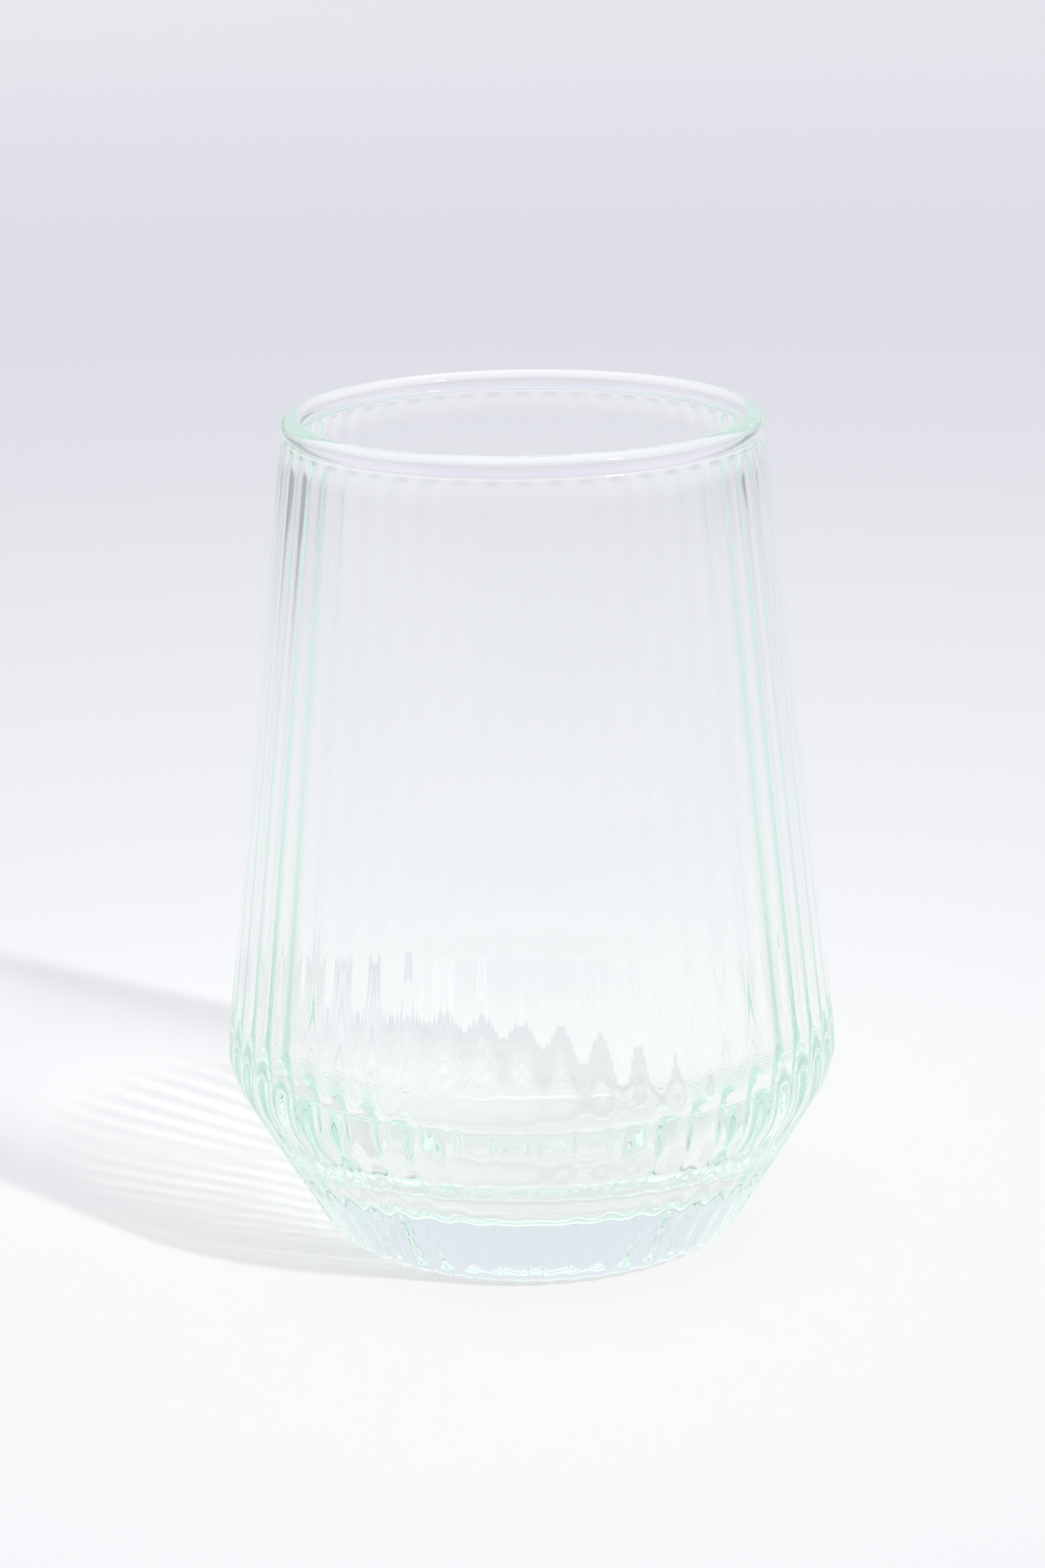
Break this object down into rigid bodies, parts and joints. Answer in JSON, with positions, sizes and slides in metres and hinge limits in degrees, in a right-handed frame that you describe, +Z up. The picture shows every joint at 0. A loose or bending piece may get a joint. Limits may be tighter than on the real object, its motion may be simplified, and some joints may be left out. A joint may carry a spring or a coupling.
{
  "type": "tea glass",
  "caption": "Clear stemless tea glass with fine flutes, narrow at its beaded rim, widest at a low rounded shoulder, drawn in to a thick solid foot.",
  "frame": {"origin": "centre of the foot, on the plane that the glass stands on", "axes": "+Z up the axis of the glass, from the foot to the rim; the glass looks the same from every side, so X and Y pass through the crest between two flutes"},
  "size_m": [0.0888, 0.0886, 0.12],
  "materials": {
    "clear_glass": "gloss"
  },
  "bodies": {
    "root": {"tumbler": "clear_glass"}
  },
  "joints": []
}
